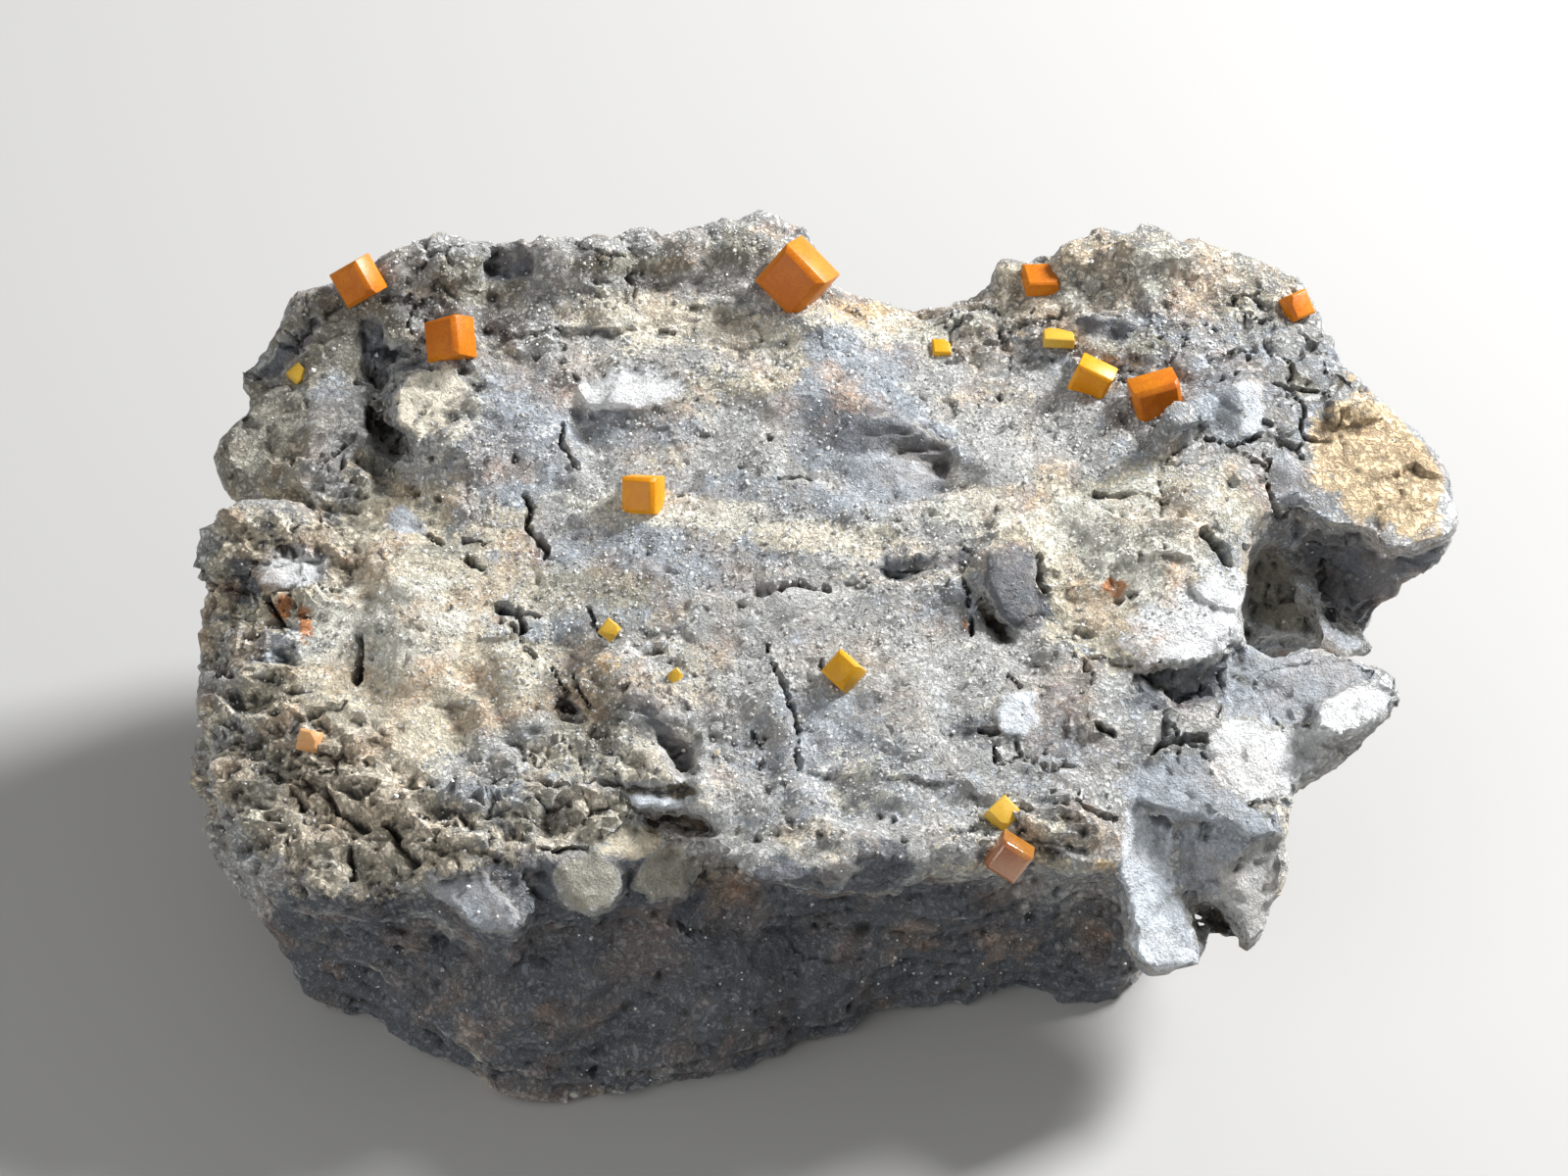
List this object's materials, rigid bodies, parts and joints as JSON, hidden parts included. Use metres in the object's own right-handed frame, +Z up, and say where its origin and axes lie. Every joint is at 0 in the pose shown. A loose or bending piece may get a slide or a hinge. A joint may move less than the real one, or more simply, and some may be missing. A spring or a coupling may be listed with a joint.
{
  "type": "wulfenite on matrix",
  "caption": "Natural mineral specimen: blocky orange and yellow wulfenite crystals scattered on a broken lump of blue-grey dolomite with a fine drusy crust, resting on its sawn base.",
  "frame": {"origin": "middle of the bounding box, on the sawn base that it rests on", "axes": "+X along the lump's length, to the right as it is looked at; +Y to its back rim; +Z up"},
  "size_m": [0.0896, 0.0556, 0.0357],
  "materials": {
    "dolomite": "rough broken rock with a fine sparkling crust, blue-grey to cream",
    "orange": "translucent orange crystal, resinous lustre",
    "honey": "translucent honey-orange crystal, resinous lustre",
    "ochre": "translucent ochre-yellow crystal, resinous lustre",
    "brown": "deep orange-brown crystal, resinous lustre",
    "amber": "glassy amber crystal",
    "yellow": "bright yellow crystal, resinous lustre",
    "peach": "pale peach-orange crystal, dull lustre"
  },
  "bodies": {
    "root": {"matrix": "dolomite", "wulfenite_large_block": "orange", "wulfenite_left_rear": "orange", "wulfenite_left": "orange", "wulfenite_centre_left": "honey", "wulfenite_centre": "ochre", "wulfenite_right": "honey", "wulfenite_dark": "brown", "wulfenite_front": "amber", "wulfenite_front_cap": "yellow", "wulfenite_rear": "orange", "wulfenite_edge": "orange", "wulfenite_tablet": "yellow", "wulfenite_low_left": "peach", "wulfenite_small_upper": "yellow", "wulfenite_small_lower": "yellow", "wulfenite_far_left": "yellow", "wulfenite_crest": "ochre"}
  },
  "joints": []
}
